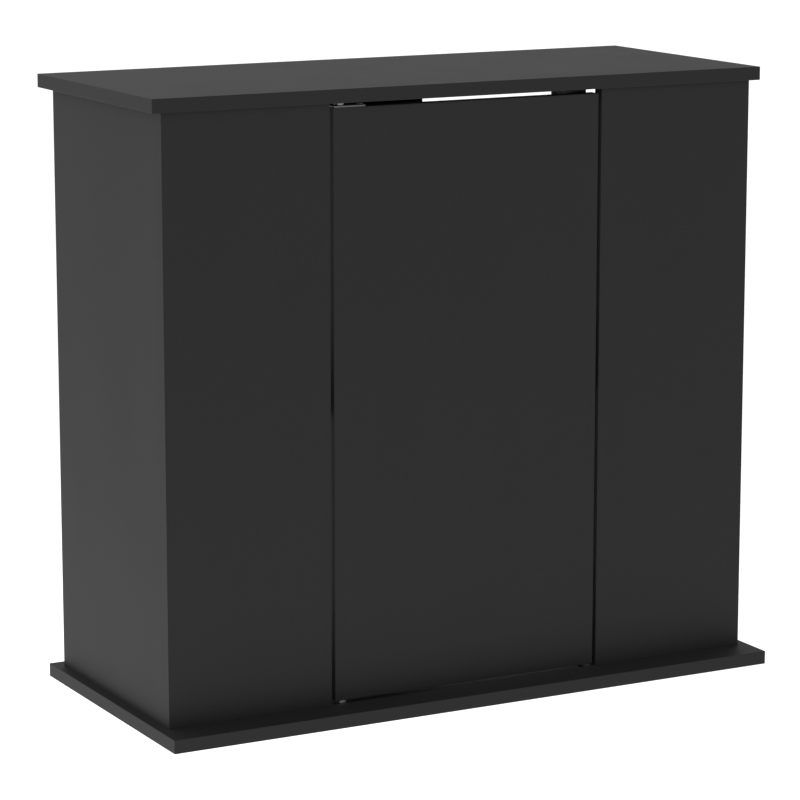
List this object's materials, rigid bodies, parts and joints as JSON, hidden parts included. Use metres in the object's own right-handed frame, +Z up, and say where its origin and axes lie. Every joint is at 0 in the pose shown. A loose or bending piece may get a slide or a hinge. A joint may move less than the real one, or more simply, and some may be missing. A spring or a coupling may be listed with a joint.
{
  "type": "aquarium stand cabinet",
  "caption": "Board-built aquarium stand cabinet with an overhanging deck and plinth board, fixed side fronts, an open back and a pivot-hung handleless door.",
  "frame": {"origin": "middle of the base board's underside, on the floor", "axes": "+X to the right seen from the front, -Y out of the front with the door, +Z up"},
  "size_m": [0.795, 0.365, 0.73],
  "materials": {
    "black_melamine": "matte",
    "edge_band": "satin",
    "beech_dowel": "matte",
    "zinc_casting": "satin",
    "plated_steel": "satin",
    "spring_steel": "satin",
    "nickel_magnet": "polished",
    "latch_plastic": "satin",
    "black_cap": "satin"
  },
  "bodies": {
    "carcass": {"base_board": "black_melamine", "top_board": "black_melamine", "left_side_panel": "black_melamine", "right_side_panel": "black_melamine", "left_front_panel": "black_melamine", "right_front_panel": "black_melamine", "back_centre_panel": "black_melamine", "shelf": "black_melamine", "base_edge_bands": "edge_band", "top_edge_bands": "edge_band", "side_edge_bands": "edge_band", "front_edge_bands": "edge_band", "back_edge_bands": "edge_band", "shelf_edge_bands": "edge_band", "wood_dowels": "beech_dowel", "cam_locks": "zinc_casting", "cam_bolts": "plated_steel", "cam_caps": "black_cap", "shelf_pins": "plated_steel", "top_hinge_bush": "latch_plastic", "bottom_pivot": "plated_steel", "spare_seat_cups": "latch_plastic", "latch_housing": "latch_plastic", "latch_spring": "spring_steel", "latch_screws": "plated_steel"},
    "door_leaf": {"door": "black_melamine", "door_edge_bands": "edge_band", "top_hinge_plate": "plated_steel", "top_hinge_pin": "plated_steel", "top_hinge_screw": "plated_steel", "bottom_hinge_bush": "latch_plastic", "strike_plate": "plated_steel", "strike_screw": "plated_steel"},
    "plunger": {"latch_plunger": "latch_plastic", "latch_magnet": "nickel_magnet"}
  },
  "joints": [
    {"name": "door_swing", "type": "hinge", "parent": "carcass", "child": "door_leaf", "pos_m": [-0.1625, -0.133, 0.364], "axis": [0, 0, -1], "range_deg": [0, 120]},
    {"name": "latch_press", "type": "slide", "parent": "carcass", "child": "plunger", "axis": [0, 1, 0], "range_m": [0, 0.003], "stiffness_N_per_m": 200, "springref_m": -0.02, "deforming": ["latch_spring"]}
  ]
}
